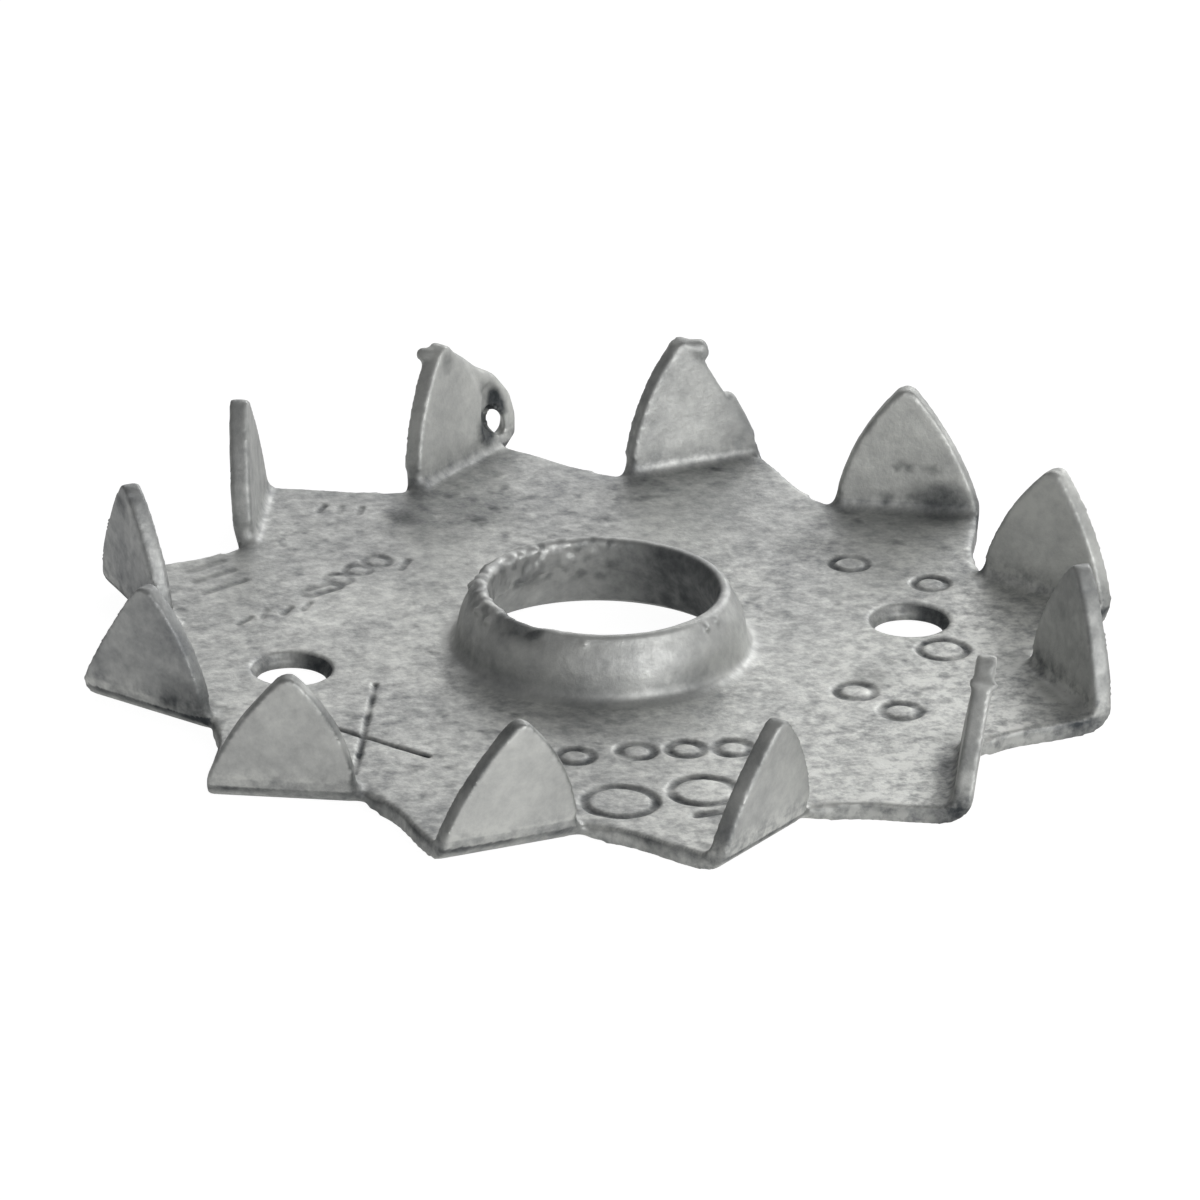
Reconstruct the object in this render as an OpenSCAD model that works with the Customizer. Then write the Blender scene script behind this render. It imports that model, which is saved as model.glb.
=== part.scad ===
// Single-sided toothed-plate timber connector.
// A disc of sheet steel is notched round its edge, the points between the notches are folded up
// as teeth, and a hole in the middle is drawn up into a collar that takes the bolt.
// Millimetres. The origin is on the bolt axis, in the plate's underside. +Z points the way the
// teeth do, and the two nail holes lie on the X axis.

/* [Plate] */
// Diameter across the outer corners of the folds
plate_d = 75; // [66:1:90]
// Thickness of the sheet
sheet_t = 1.25; // [1:0.05:1.5]
// Depth of the shallow bow in each free edge
edge_bow = 0.6; // [0:0.1:1]

/* [Teeth] */
// Number of teeth
tooth_count = 12; // [6:1:12]
// Height of the tips above the underside
tooth_h = 10.4; // [8:0.1:13]
// Length of the fold that each tooth stands on
fold_l = 11.2; // [10:0.1:11.5]
// Angle that each fold is turned out of the tangent
fold_turn = 42; // [38:1:46]
// Outside radius of the fold
fold_r = 2.1; // [1.7:0.1:2.6]
// Angle that the teeth lean outwards
tooth_lean = 6; // [0:1:10]
// Distance of the tip from the outer corner, along the fold
tip_at = 5.6; // [4.6:0.1:6.2]
// Radius of the tip
tip_r = 0.9; // [0.5:0.1:1.2]
// Bulge of the flank that rises from the outer corner
outer_bulge = 0.5; // [0:0.1:0.8]
// Bulge of the flank that rises from the inner corner
inner_bulge = 0.7; // [0:0.1:1]
// Radius in the notch at the foot of the inner flank
notch_r = 0.9; // [0.4:0.1:1.2]
// Depth that this notch cuts below the plate's top
notch_dip = 0.25; // [0.1:0.05:0.4]
// Height of the square shoulder above the plate, at the outer corner
shoulder_h = 0.5; // [0:0.1:1]

/* [Collar] */
// Diameter of the bolt hole at the rim
bore_d = 16.4; // [12.4:0.2:20.4]
// Height of the rim above the plate
collar_h = 4.5; // [3.6:0.1:6]
// Depth of the cylindrical land below the rim's rounded edge
land_h = 1.3; // [1:0.1:1.6]
// Thickness of the wall at the rim
rim_t = 0.9; // [0.7:0.05:1.2]
// How far the hole widens from the land to the foot, on the radius
bore_flare = 0.85; // [0.3:0.05:1.2]
// Fullness of the wall's outer face between foot and rim
wall_bulge = 0.25; // [0:0.05:0.4]
// Radius in the corner between the wall and the plate
foot_r = 0.7; // [0.4:0.1:1]

/* [Nail holes] */
// Diameter of the two nail holes
nail_d = 5.8; // [4:0.1:7]
// Distance between the nail holes' centres
nail_spacing = 45; // [38:0.5:48]

/* [Hidden] */

$fn = 96;
// Facets of a bowed edge, and of a small rounded corner
BOW_STEPS = 8;
CORNER_STEPS = 6;
// How far the free edge's control point stands off, for each millimetre of bow
BOW_PULL = 2.25;
// Angle between a free edge and the end of the fold that it runs into
EDGE_SLANT = 8;
// Angle that the notch's arc sweeps through, down past the plate's top
NOTCH_SWEEP = 120;
// How far pieces of the one sheet run into each other before they are joined
LAP = 1;
// How far short of a fold the flat sheet stops, at the fold's inner corner
SEAM = 0.1;
// How far a cutter runs past what it cuts
CLEAR = 1;
// Bare zinc
ZINC = [0.66, 0.67, 0.67];

pitch = 360 / tooth_count;
// The collar's radii, from the bolt outwards
bore_r = bore_d / 2;
bore_foot_r = bore_r + bore_flare;
wall_foot_r = bore_foot_r + sheet_t;
rim_r = bore_r + rim_t;
collar_r = wall_foot_r + foot_r;
// The collar's heights, from the underside up
under_r = sheet_t + foot_r;
rim_z = sheet_t + collar_h;
rim_edge_r = rim_t / 2;
land_z = rim_z - rim_edge_r - land_h;

// Points from a to b on a shallow curve that stands sag to the left of the straight line.
function bowed(a, b, sag, steps = BOW_STEPS) =
    let (run = b - a, left = [-run.y, run.x] / norm(run))
    [for (i = [0:steps]) let (t = i / steps) a + t * run + 4 * sag * t * (1 - t) * left];

// Points on an arc about c, from angle a0 to angle a1.
function arc(c, r, a0, a1, steps = CORNER_STEPS) =
    [for (i = [0:steps]) let (a = a0 + (a1 - a0) * i / steps) c + r * [cos(a), sin(a)]];

// The points of a list between its first and its last.
function trimmed(points) = [for (i = [1:len(points) - 2]) points[i]];

// A point of the plan, from its place by the k-th fold: out is square to the fold, along runs
// from the outer corner to the inner one.
function by_fold(k, out, along) =
    let (a = k * pitch, b = a + fold_turn)
    plate_d / 2 * [cos(a), sin(a)] + out * [cos(b), sin(b)] + along * [-sin(b), cos(b)];

// Angle on the tip's circle at which a bowed flank of rise h and run w, to its centre, meets it,
// from the vertical.
function tip_angle(w, h, bulge) =
    let (d = norm([w, h])) atan2(h, w) + asin(tip_r / d) - atan(4 * bulge / d);

// The bowed free edge, from the k-th fold's inner corner to just inside the root of the next
// fold, whose end it crosses at a slant.
function free_edge(k) =
    let (
        root = -fold_r - LAP / 3,
        inset = SEAM / 2,
        a = by_fold(k, 0, fold_l),
        b = by_fold(k + 1, root, inset),
        reach = norm(b - a) / 3,
        left = [a.y - b.y, b.x - a.x] / norm(b - a),
        pull_a = a + (b - a) / 3 + BOW_PULL * edge_bow * left,
        pull_b = by_fold(k + 1, root - reach, inset - reach * tan(EDGE_SLANT))
    )
    [
        for (i = [0:BOW_STEPS])
            let (t = i / BOW_STEPS, s = 1 - t)
            s ^ 3 * a + 3 * s ^ 2 * t * pull_a + 3 * s * t ^ 2 * pull_b + t ^ 3 * b
    ];

// The flat sheet inside the folds. Each fold's own sheet covers its straight edge there.
module flat_sheet() {
    outline = [
        for (k = [0:tooth_count - 1])
            each concat([by_fold(k, -fold_r - SEAM, fold_l)], free_edge(k))
    ];
    linear_extrude(sheet_t) polygon(outline);
}

// Section of the sheet square to a fold: flat, then bent up, then the straight tooth.
module fold_section() {
    centre = [-fold_r, fold_r];
    inside_r = fold_r - sheet_t;
    rise = tooth_h * [sin(tooth_lean), cos(tooth_lean)];
    side = [cos(tooth_lean), -sin(tooth_lean)];
    polygon(concat(
        [[-fold_r - LAP, 0]],
        arc(centre, fold_r, -90, -tooth_lean),
        [centre + fold_r * side + rise, centre + inside_r * side + rise],
        arc(centre, inside_r, -tooth_lean, -90),
        [[-fold_r - LAP, sheet_t]]
    ));
}

// Outline of a tooth seen square to its fold, from the outer corner at 0 to the inner at fold_l.
// It runs past both ends of the fold, and below the sheet, so that only the flanks cut.
module tooth_outline() {
    tip = [tip_at, tooth_h - tip_r];
    outer_foot = [0, sheet_t + shoulder_h];
    notch = [fold_l, sheet_t + notch_r - notch_dip];
    inner_foot = notch - [notch_r, 0];
    outer_run = tip - outer_foot;
    inner_run = tip - inner_foot;
    below = CLEAR + outer_foot.y;
    outer_meet = 90 + tip_angle(outer_run.x, outer_run.y, outer_bulge);
    inner_meet = 90 - tip_angle(-inner_run.x, inner_run.y, inner_bulge);
    tip_start = tip + tip_r * [cos(outer_meet), sin(outer_meet)];
    tip_end = tip + tip_r * [cos(inner_meet), sin(inner_meet)];
    polygon(concat(
        [outer_foot - below / outer_run.y * outer_run],
        bowed(outer_foot, tip_start, outer_bulge),
        trimmed(arc(tip, tip_r, outer_meet, inner_meet)),
        bowed(tip_end, inner_foot, inner_bulge),
        trimmed(arc(notch, notch_r, 180, 180 + NOTCH_SWEEP)),
        [[fold_l + CLEAR, sheet_t], [fold_l + CLEAR, -CLEAR]]
    ));
}

// One tooth with its fold, its outer corner at the origin and its fold along +Y. At its inner end
// the fold's sheet runs a little into the flat sheet.
module tooth() {
    strip_l = fold_l + LAP / 3;
    inner_reach = fold_r + LAP + CLEAR;
    outer_reach = tooth_h * tan(tooth_lean) + CLEAR;
    intersection() {
        translate([0, strip_l, 0])
            rotate([90, 0, 0])
                linear_extrude(strip_l) fold_section();
        translate([-inner_reach, 0, 0])
            rotate([90, 0, 90])
                linear_extrude(inner_reach + outer_reach) tooth_outline();
    }
}

// Section of the collar and a little of the plate round it, right of the bolt axis.
module collar_section() {
    outer_r = collar_r + LAP;
    wall_top = [rim_r, rim_z - rim_edge_r];
    wall_foot = [wall_foot_r, sheet_t + foot_r];
    polygon(concat(
        [[outer_r, 0]],
        [[outer_r, sheet_t]],
        arc([wall_foot_r + foot_r, sheet_t + foot_r], foot_r, 270, 180),
        trimmed(bowed(wall_foot, wall_top, -wall_bulge)),
        arc([bore_r + rim_edge_r, rim_z - rim_edge_r], rim_edge_r, 0, 180),
        [[bore_r, land_z]],
        arc([bore_foot_r + under_r, under_r], under_r, 180, 270)
    ));
}

module nail_holes() {
    for (side = [-1, 1])
        translate([side * nail_spacing / 2, 0, -CLEAR])
            cylinder(d = nail_d, h = sheet_t + 2 * CLEAR);
}

module toothed_plate() {
    color(ZINC) {
        difference() {
            union() {
                flat_sheet();
                for (k = [0:tooth_count - 1])
                    rotate(k * pitch)
                        translate([plate_d / 2, 0, 0])
                            rotate(fold_turn) tooth();
            }
            translate([0, 0, -CLEAR]) cylinder(r = collar_r + LAP / 2, h = sheet_t + 2 * CLEAR);
            nail_holes();
        }
        rotate_extrude() collar_section();
    }
}

toothed_plate();
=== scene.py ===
"""Hot-dip galvanised toothed-plate timber connector, dressed over its CAD frame.

The connector is one pressing: a plate with teeth folded up from its edge and a drawn collar round
the bolt hole. The zinc that it was dipped in rounds every edge, pools in the corners and hangs as
burrs on some of the teeth. Lengths are in millimetres until the finished mesh is scaled.
"""

import logging
import math
import random
from dataclasses import dataclass, field

import bmesh
import bpy
import numpy as np
from mathutils import Matrix, Vector, noise


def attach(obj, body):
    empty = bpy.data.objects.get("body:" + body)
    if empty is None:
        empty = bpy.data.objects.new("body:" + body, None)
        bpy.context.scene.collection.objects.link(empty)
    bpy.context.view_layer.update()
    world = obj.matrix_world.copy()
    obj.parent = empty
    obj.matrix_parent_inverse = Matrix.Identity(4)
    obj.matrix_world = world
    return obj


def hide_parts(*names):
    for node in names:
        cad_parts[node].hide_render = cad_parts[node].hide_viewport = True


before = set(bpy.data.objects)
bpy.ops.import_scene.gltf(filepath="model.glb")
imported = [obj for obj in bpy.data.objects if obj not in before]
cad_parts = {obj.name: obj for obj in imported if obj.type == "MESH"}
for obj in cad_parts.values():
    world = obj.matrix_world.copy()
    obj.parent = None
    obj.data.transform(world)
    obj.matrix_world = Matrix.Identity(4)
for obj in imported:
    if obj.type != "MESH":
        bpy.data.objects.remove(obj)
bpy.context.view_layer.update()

log = logging.getLogger("connector")

MM = 0.001
PLATE_NODE = "toothed_plate"


def linear(hex_colour: str) -> tuple[float, float, float, float]:
    """Turn an sRGB hex colour into linear light.

    Args:
        hex_colour: six hex digits, such as "B4B6B6".

    Returns:
        Linear red, green and blue, and an alpha of 1.
    """
    values = [int(hex_colour[i:i + 2], 16) / 255 for i in (0, 2, 4)]
    light = [v / 12.92 if v <= 0.04045 else ((v + 0.055) / 1.055) ** 2.4 for v in values]
    return (light[0], light[1], light[2], 1.0)


def add_node(tree: bpy.types.NodeTree, kind: str, settings: dict | None = None,
             inputs: dict | None = None) -> bpy.types.Node:
    """Add a node with its settings, and its input values or links.

    Args:
        tree: the node tree that gets the node.
        kind: the node's type, such as "ShaderNodeTexNoise".
        settings: the node's own attributes.
        inputs: input name or number to a value, or to the output socket that feeds it.

    Returns:
        The new node.
    """
    node = tree.nodes.new(kind)
    for name, value in (settings or {}).items():
        setattr(node, name, value)
    for name, value in (inputs or {}).items():
        if isinstance(value, bpy.types.NodeSocket):
            tree.links.new(value, node.inputs[name])
        else:
            node.inputs[name].default_value = value
    return node


def ramp(low: float, high: float, value: np.ndarray) -> np.ndarray:
    """Rise smoothly from 0 at low to 1 at high.

    Args:
        low: where the rise starts.
        high: where it ends.
        value: the values to read it at.

    Returns:
        The height of the rise at each value.
    """
    t = np.clip((value - low) / (high - low), 0.0, 1.0)
    return t * t * (3.0 - 2.0 * t)


def clouds(points: np.ndarray, size: float, seed: float) -> np.ndarray:
    """Read smooth noise of a given grain.

    Args:
        points: places, in millimetres.
        size: the grain's size, in millimetres.
        seed: shifts the pattern, so that each use has its own.

    Returns:
        One value for each place, between about -1 and 1.
    """
    shift = Vector((seed * 17.3, seed * 5.1, seed * 9.7))
    return np.array([noise.noise(Vector(p) / size + shift) for p in points])


def polar(points: np.ndarray) -> tuple[np.ndarray, np.ndarray]:
    """Give each point's distance from the bolt axis, and its bearing round it.

    Args:
        points: places in the plate's own coordinates.

    Returns:
        The distances, and the bearings in degrees from 0 to 360.
    """
    ring = np.hypot(points[:, 0], points[:, 1])
    return ring, np.degrees(np.arctan2(points[:, 1], points[:, 0])) % 360


def read(items: bpy.types.bpy_prop_collection, name: str) -> np.ndarray:
    """Read one vector from every item of a mesh.

    Args:
        items: the mesh's vertices or normals.
        name: the vector's name.

    Returns:
        One row for each item.
    """
    values = np.empty(len(items) * 3)
    items.foreach_get(name, values)
    return values.reshape(-1, 3)


@dataclass(frozen=True)
class Pressing:
    """How one tooth came out of the press, against the drawing.

    Attributes:
        lean: extra lean outwards, in degrees.
        height: extra height of the tip.
        shift: how far the tip stands towards the inner corner.
        waist: how far the outer flank is drawn in halfway up.
    """

    lean: float = 0.0
    height: float = 0.0
    shift: float = 0.0
    waist: float = 0.0


@dataclass(frozen=True)
class Fold:
    """The place of one tooth: where its fold lies, and the directions out of it and along it."""

    index: int
    turn: float = 42.0
    pitch: float = 30.0
    ring_r: float = 37.5

    @property
    def outwards(self) -> Vector:
        """The direction square to the fold, away from the plate."""
        angle = math.radians(self.index * self.pitch + self.turn)
        return Vector((math.cos(angle), math.sin(angle), 0.0))

    @property
    def along(self) -> Vector:
        """The direction of the fold, from its outer corner to its inner one."""
        return Vector((-self.outwards.y, self.outwards.x, 0.0))

    @property
    def corner(self) -> Vector:
        """The fold's outer corner."""
        angle = math.radians(self.index * self.pitch)
        return Vector((math.cos(angle), math.sin(angle), 0.0)) * self.ring_r

    def place(self, out: float, along: float, height: float) -> Vector:
        """Give the plate's own coordinates of a place by this fold.

        Args:
            out: distance square to the fold, outwards.
            along: distance from the outer corner, along the fold.
            height: height above the underside.

        Returns:
            The place.
        """
        return self.corner + self.outwards * out + self.along * along + Vector((0, 0, height))

    def local(self, points: np.ndarray) -> np.ndarray:
        """Give each point's distances out, along and up by this fold.

        Args:
            points: places in the plate's own coordinates.

        Returns:
            One row of out, along and up for each point.
        """
        from_corner = points - np.array(self.corner)
        axes = np.array([self.outwards, self.along, (0.0, 0.0, 1.0)])
        return from_corner @ axes.T

    def world(self, local: np.ndarray) -> np.ndarray:
        """Undo local().

        Args:
            local: rows of out, along and up.

        Returns:
            The places in the plate's own coordinates.
        """
        axes = np.array([self.outwards, self.along, (0.0, 0.0, 1.0)])
        return local @ axes + np.array(self.corner)


@dataclass(frozen=True)
class Mark:
    """A shallow plain mark pressed into the top: a groove from start to end, or round them.

    Attributes:
        start: one end, in plan.
        end: the other end, in plan.
        ring: distance of the groove from the line between them, and 0 for a plain bar.
        width: half the groove's width.
        wear: how much of its depth is worn away.
    """

    start: tuple[float, float]
    end: tuple[float, float]
    ring: float = 0.0
    width: float = 0.42
    wear: float = 0.0

    def depth(self, points: np.ndarray) -> np.ndarray:
        """Give how deep the groove is at each point, from 0 to 1.

        Args:
            points: places on the plate.

        Returns:
            The depth at each place.
        """
        start, run = np.array(self.start), np.array(self.end) - np.array(self.start)
        offset = points[:, :2] - start
        along = np.clip(offset @ run / max(run @ run, 1e-9), 0.0, 1.0)
        away = np.linalg.norm(offset - along[:, None] * run, axis=1)
        groove = ramp(self.width, self.width * 0.3, np.abs(away - self.ring))
        return (1.0 - self.wear) * groove


@dataclass(frozen=True)
class Lump:
    """A run of zinc or torn sheet that stands on a tooth, as overlapping balls along a line.

    Attributes:
        tooth: the tooth it stands on.
        line: places along the fold, up, and off the middle of the tooth's sheet, each with the
            radius of the ball there.
        step: how far apart the balls are, at most.
    """

    tooth: int
    line: tuple[tuple[float, float, float, float], ...]
    step: float = 0.3

    def balls(self) -> list[tuple[float, float, float, float]]:
        """Fill the line between its places with balls that overlap.

        Returns:
            The place and radius of each ball.
        """
        filled = [self.line[0]]
        for a, b in zip(self.line, self.line[1:]):
            count = max(1, math.ceil(math.dist(a[:3], b[:3]) / self.step))
            for i in range(1, count + 1):
                t = i / count
                filled.append(tuple(p + (q - p) * t for p, q in zip(a, b)))
        return filled


@dataclass(frozen=True)
class TornLobe:
    """A lobe of sheet, torn out beside one tooth's outer flank, with an opening through it.

    Places are along the fold and up the tooth. Turns are in degrees from the fold's direction.

    Attributes:
        tooth: the tooth beside which it stands.
        thickness: the lobe's thickness, before its zinc.
        outline: its outline, which runs into the tooth.
        rim: the rounded rim along its free side.
        hole_at: the opening's middle.
        hole_half: half its length and half its width.
        hole_tilt: how it is turned.
        hole_slant: how far it runs along and up, for each millimetre out through the sheet.
        hole_reach: the length of the cutter that makes it.
        hollow_at: the middle of the burnt hollow that it lies in, on the inner face.
        hollow_half: half the hollow's length and half its width.
        hollow_tilt: how the hollow is turned.
        hollow_depth: the hollow's depth.
    """

    tooth: int = 3
    thickness: float = 0.95
    outline: tuple[tuple[float, float], ...] = (
        (5.2, 9.6), (3.9, 9.0), (1.7, 7.3), (-0.2, 6.0), (-1.6, 4.4), (-2.1, 2.8),
        (-1.8, 1.6), (-0.4, 1.0), (3.2, 1.4), (4.6, 5.0),
    )
    rim: Lump = Lump(3, (
        (4.2, 9.1, 0.0, 0.45), (2.0, 7.3, 0.0, 0.52), (0.05, 6.05, 0.0, 0.6),
        (-1.55, 4.4, 0.05, 0.55), (-2.05, 2.9, 0.05, 0.47), (-1.75, 1.75, 0.05, 0.6),
        (-0.5, 1.2, 0.0, 0.65),
    ))
    hole_at: tuple[float, float] = (-0.4, 2.8)
    hole_half: tuple[float, float] = (1.38, 0.8)
    hole_tilt: float = 49.0
    hole_slant: tuple[float, float] = (-1.4, -0.7)
    hole_reach: float = 4.0
    hollow_at: tuple[float, float] = (0.8, 4.2)
    hollow_half: tuple[float, float] = (2.5, 1.45)
    hollow_tilt: float = 95.0
    hollow_depth: float = 0.4


@dataclass
class ToothedPlate:
    """The pressed and galvanised plate: its teeth as pressed, its zinc and its marks.

    The teeth are numbered from the one whose fold starts on the X axis, the way that bearings run.
    """

    # The drawing's own sizes
    sheet_t: float = 1.25
    tooth_h: float = 10.4
    fold_l: float = 11.2
    fold_r: float = 2.1
    tooth_lean: float = 6.0
    bore_r: float = 8.2
    rim_z: float = 5.75
    nail_x: float = 22.5
    # How each tooth came out of the press
    pressings: tuple[Pressing, ...] = (
        Pressing(0.7, -0.2, -0.36),
        Pressing(-0.6, -0.1, -0.2),
        Pressing(2.0, 0.22, -0.1, 0.5),
        Pressing(1.3, 0.22, -0.04),
        Pressing(-0.1, -0.05, 0.0),
        Pressing(-0.7, 0.05, -0.09),
        Pressing(0.0, -0.05, 0.09, 0.3),
        Pressing(0.0, -0.4, 0.0),
        Pressing(0.0, -0.2, 0.0),
        Pressing(0.0, -0.5, 0.0),
        Pressing(1.7, 0.0, 0.0),
        Pressing(-0.4, 0.0, 0.07),
    )
    lobe: TornLobe = TornLobe()
    # The skin's grid, how often all of it is smoothed, and its number of triangles
    grid: float = 0.17
    rounding: int = 5
    triangles: int = 192_000
    # The zinc's thickness, then the size and height of its waves, of its ripples and of its dross
    zinc_t: float = 0.09
    waves: tuple[float, float] = (8.0, 0.05)
    ripples: tuple[float, float] = (1.6, 0.03)
    dross_grain: tuple[float, float] = (0.7, 0.10)
    # The corners at the inner end of each fold that zinc has filled: place out from the fold, past
    # its end and up, reach, and the ring outside which they all lie. Then the band round the
    # collar's foot that it has filled: its radii and its heights. Last, how often both are smoothed
    notch_at: tuple[float, float, float] = (-0.7, 0.1, 1.3)
    notch_reach: float = 1.9
    notch_ring: float = 25.0
    foot_radii: tuple[float, float] = (9.75, 13.2)
    foot_heights: tuple[float, float] = (0.8, 3.3)
    filling: int = 40
    # Zinc that hangs in the foot of each nail hole: its ring, and the radius and number of its drops
    nail_r: float = 2.98
    nail_drop_r: float = 0.5
    nail_drops: int = 48
    # Dross on the collar's rim and down its bore: number of grains, and bearing and spread in degrees
    rim_dross: tuple[int, float, float] = (90, 150.0, 48.0)
    bore_dross: tuple[int, float, float] = (60, 128.0, 20.0)
    dross_seed: int = 11
    # The chip in the collar's rim: its bearing, the depth it goes to and how much darker it is
    # coloured
    chip_at: float = 216.0
    chip_depth: float = 0.18
    chip_darkening: float = 0.55
    # Tooth, place along and up it, reach along and up, and strength of the dark smears on the teeth
    smears: tuple[tuple[int, float, float, float, float, float], ...] = (
        (1, 2.9, 2.6, 2.9, 1.5, 0.7), (1, 5.6, 4.6, 1.1, 0.4, 0.7), (1, 3.4, 4.5, 1.0, 0.35, 0.6),
        (3, -0.1, 4.7, 1.05, 1.3, 0.9), (3, -0.75, 3.9, 0.7, 0.9, 0.8),
        (3, 1.6, 3.05, 1.75, 1.7, 1.0), (3, 1.5, 6.2, 0.7, 0.9, 0.4), (3, 5.6, 9.6, 1.0, 1.2, 0.4),
        (5, 5.2, 9.0, 1.2, 0.9, 0.6), (6, 9.0, 2.3, 3.5, 2.6, 0.55),
    )
    # Place, reach and strength of the dark patches on the plate
    patches: tuple[tuple[float, float, float, float], ...] = (
        (-9.1, 24.8, 1.9, 0.75), (-8.6, 22.3, 3.2, 0.3), (17.5, -9.5, 2.6, 0.3),
        (19.0, 14.0, 4.0, 0.3), (-3.0, 24.5, 4.0, 0.3),
    )
    # Tooth, reach in front of its fold, strength, and start in front of the tooth's face, of the
    # painted shadows that the teeth cast on the plate in front of their folds
    fold_shadows: tuple[tuple[int, float, float, float], ...] = (
        (0, 4.5, 0.6, 0.0), (1, 5.0, 0.55, 0.0), (2, 4.5, 0.5, 1.6), (3, 3.5, 0.3, 0.0),
        (10, 1.6, 0.8, 0.0), (11, 5.0, 0.7, 0.0),
    )
    # The painted shadow that the collar casts on the plate in front of it: its middle, radius and
    # strength
    collar_shadow_at: tuple[float, float] = (-2.6, -3.8)
    collar_shadow_r: float = 9.6
    collar_shadow: float = 0.24
    # How dark the cut edges are, from oxide and from painted shade on edges that face away from the
    # lamps, and how frosted the faces, tooth by tooth
    edge_oxide_and_shade: tuple[float, ...] = (0.4, 0.4, 0.35, 0.3, 0.3, 0.15, 0.15, 0.7, 0.85, 0.7, 0.5, 0.4)
    frost: tuple[float, ...] = (0.6, 0.8, 0.0, 0.8, 0.0, -0.6, -0.7, 0.55, 1.0, -0.4, 0.0, -0.6)
    # Burrs and beads
    lumps: tuple[Lump, ...] = (
        # The hooked burr on one tip, and the flank torn wide under it
        Lump(2, ((6.2, 9.75, 0.0, 0.55), (5.3, 9.85, -0.1, 0.6), (4.3, 9.75, -0.25, 0.62),
                 (4.0, 9.35, -0.3, 0.52))),
        Lump(2, ((1.55, 5.5, 0.0, 0.62), (0.95, 4.2, 0.0, 0.62), (0.5, 2.8, 0.0, 0.6))),
        # The bead beside the next tip
        Lump(3, ((6.2, 9.85, 0.2, 0.5), (6.5, 9.95, 0.85, 0.45))),
        # The ridge across the edge of one tooth
        Lump(10, ((4.2, 9.0, -0.6, 0.34), (4.1, 9.0, 0.75, 0.3))),
        # The thick tip of the tooth on the far left
        Lump(5, ((4.9, 9.2, 0.0, 0.62), (5.7, 9.7, 0.05, 0.6), (6.4, 9.2, 0.0, 0.62))),
    )
    # Shallow marks in the top, and how deep and how dark they are
    mark_depth: float = 0.2
    mark_soil: float = 0.9
    marks: tuple[Mark, ...] = (
        # A row of rings, and two wide rings and a bar, in front of the collar
        Mark((-6.3, -18.6), (-6.3, -18.6), 1.25, 0.52),
        Mark((-1.9, -18.6), (-1.9, -18.6), 1.25, 0.52),
        Mark((1.6, -18.9), (1.6, -18.9), 1.25, 0.52), Mark((4.9, -19.3), (4.9, -19.3), 1.25, 0.52),
        Mark((-4.9, -26.6), (-4.9, -26.6), 2.5, 0.5), Mark((1.2, -26.0), (1.2, -26.0), 2.3, 0.5),
        Mark((-0.2, -29.9), (2.4, -29.5), 0.0, 0.6),
        # Rings round the right nail hole
        Mark((15.7, -11.5), (15.7, -11.5), 1.35, 0.52), Mark((18.0, -15.4), (18.0, -15.4), 1.35, 0.52),
        Mark((25.6, 5.9), (25.6, 5.9), 1.2), Mark((23.6, -5.6), (23.6, -5.6), 1.7),
        Mark((20.8, 10.6), (20.8, 10.6), 1.3),
        # Two long strokes on the left
        Mark((-17.3, -3.9), (-22.0, -18.7), 0.0, 0.3), Mark((-21.7, -10.9), (-16.3, -16.7), 0.0, 0.3),
        # Worn rows of bars and rings at the back left
        Mark((-26.1, 16.1), (-23.1, 17.7), 0.0, 0.5, 0.4),
        Mark((-25.9, 14.0), (-22.7, 15.8), 0.0, 0.5, 0.4),
        Mark((-26.2, 17.9), (-23.5, 19.4), 0.0, 0.5, 0.4),
        Mark((-18.6, 12.6), (-16.6, 13.6), 0.5, 0.45, 0.4),
        Mark((-16.0, 14.7), (-16.0, 14.7), 0.9, 0.45, 0.4),
        Mark((-14.3, 16.0), (-14.3, 16.0), 0.9, 0.45, 0.4),
        Mark((-12.6, 17.3), (-12.6, 17.3), 0.9, 0.45, 0.4),
        Mark((-11.2, 15.6), (-10.4, 17.0), 0.0, 0.45, 0.4),
        Mark((-24.6, 8.3), (-23.6, 9.2), 0.0, 0.4, 0.4),
        Mark((-22.7, 9.0), (-22.2, 10.2), 0.0, 0.4, 0.4),
        Mark((-21.2, 9.4), (-20.4, 10.4), 0.0, 0.4, 0.4),
        Mark((-19.6, 9.8), (-18.9, 10.9), 0.0, 0.4, 0.4),
        Mark((-14.8, 27.0), (-14.2, 27.9), 0.0, 0.4, 0.4),
        Mark((-13.4, 26.4), (-13.0, 27.5), 0.0, 0.4, 0.4),
        Mark((-12.1, 25.9), (-11.6, 27.0), 0.0, 0.4, 0.4),
    )
    folds: list[Fold] = field(default_factory=lambda: [Fold(k) for k in range(12)])

    def middle(self, height: float) -> float:
        """Give how far out the middle of a tooth's sheet is drawn at a height.

        Args:
            height: height above the underside.

        Returns:
            The distance square to the fold.
        """
        lean = math.radians(self.tooth_lean)
        radius = self.fold_r - self.sheet_t / 2
        return -self.fold_r + radius / math.cos(lean) + (height - self.fold_r) * math.tan(lean)

    def pressed(self) -> bmesh.types.BMesh:
        """Copy the CAD pressing in millimetres, with its triangles joined.

        Returns:
            The mesh.
        """
        bm = bmesh.new()
        bm.from_mesh(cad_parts[PLATE_NODE].data)
        bmesh.ops.scale(bm, vec=Vector((1, 1, 1)) / MM, verts=bm.verts)
        bmesh.ops.remove_doubles(bm, verts=bm.verts, dist=0.001)
        return bm

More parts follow.
